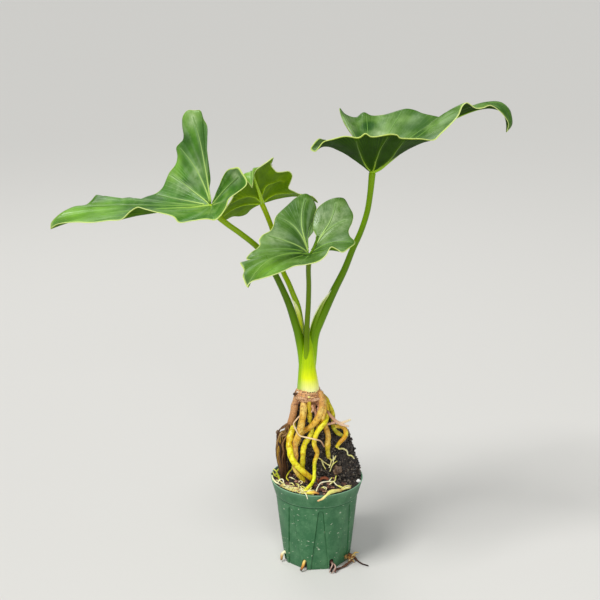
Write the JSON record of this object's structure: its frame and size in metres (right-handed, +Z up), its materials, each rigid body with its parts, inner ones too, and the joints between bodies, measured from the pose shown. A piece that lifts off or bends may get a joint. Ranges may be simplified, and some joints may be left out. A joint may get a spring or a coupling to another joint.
{
  "type": "potted tree philodendron",
  "caption": "Young tree philodendron with waved arrow-shaped leaves and bare yellow roots, in a green nursery pot.",
  "frame": {"origin": "middle of the flat underside of the pot", "axes": "+Z up along the pot, +X towards the highest leaf, -Y towards the side that the picture shows"},
  "size_m": [0.4712, 0.2083, 0.5123],
  "materials": {
    "pot": "moulded, dusty",
    "potting_mix": "damp crumb",
    "crown": "ringed bark",
    "leaf_stalk": "waxy",
    "leaf_blade": "waxy",
    "yellow_root": "smooth skin",
    "tan_root": "corky skin",
    "brown_root": "dry fibre",
    "pale_root": "smooth skin",
    "bark": "rough",
    "stone": "rough",
    "perlite": "chalky"
  },
  "bodies": {
    "root": {"pot": "pot", "potting_mix": "potting_mix", "crown": "crown", "petiole_front": "leaf_stalk", "petiole_left": "leaf_stalk", "petiole_right": "leaf_stalk", "petiole_back": "leaf_stalk", "blade_front": "leaf_blade", "blade_left": "leaf_blade", "blade_right": "leaf_blade", "blade_back": "leaf_blade", "root_front_yellow": "yellow_root", "root_left_yellow": "yellow_root", "root_middle_yellow": "yellow_root", "root_right_green": "yellow_root", "root_middle_ochre": "tan_root", "root_left_ochre": "tan_root", "root_right_ochre": "tan_root", "root_inner_brown": "tan_root", "root_left_brown": "brown_root", "root_thin_pink": "pale_root", "twig_root": "pale_root", "root_over_rim": "pale_root", "rootlets_left": "yellow_root", "rootlet_front_white": "pale_root", "rootlet_left_rim": "pale_root", "rootlet_left_white": "pale_root", "rootlet_mat": "pale_root", "drain_root_left": "pale_root", "drain_root_front": "pale_root", "drain_root_dark": "brown_root", "drain_root_right": "brown_root", "bark_curl": "bark", "bark_chip_1": "bark", "bark_chip_2": "bark", "bark_chip_3": "bark", "bark_chip_4": "bark", "bark_chip_5": "bark", "bark_chip_6": "bark", "bark_chip_7": "bark", "bark_chip_8": "bark", "bark_chip_9": "bark", "stone": "stone", "perlite": "perlite"}
  },
  "joints": []
}
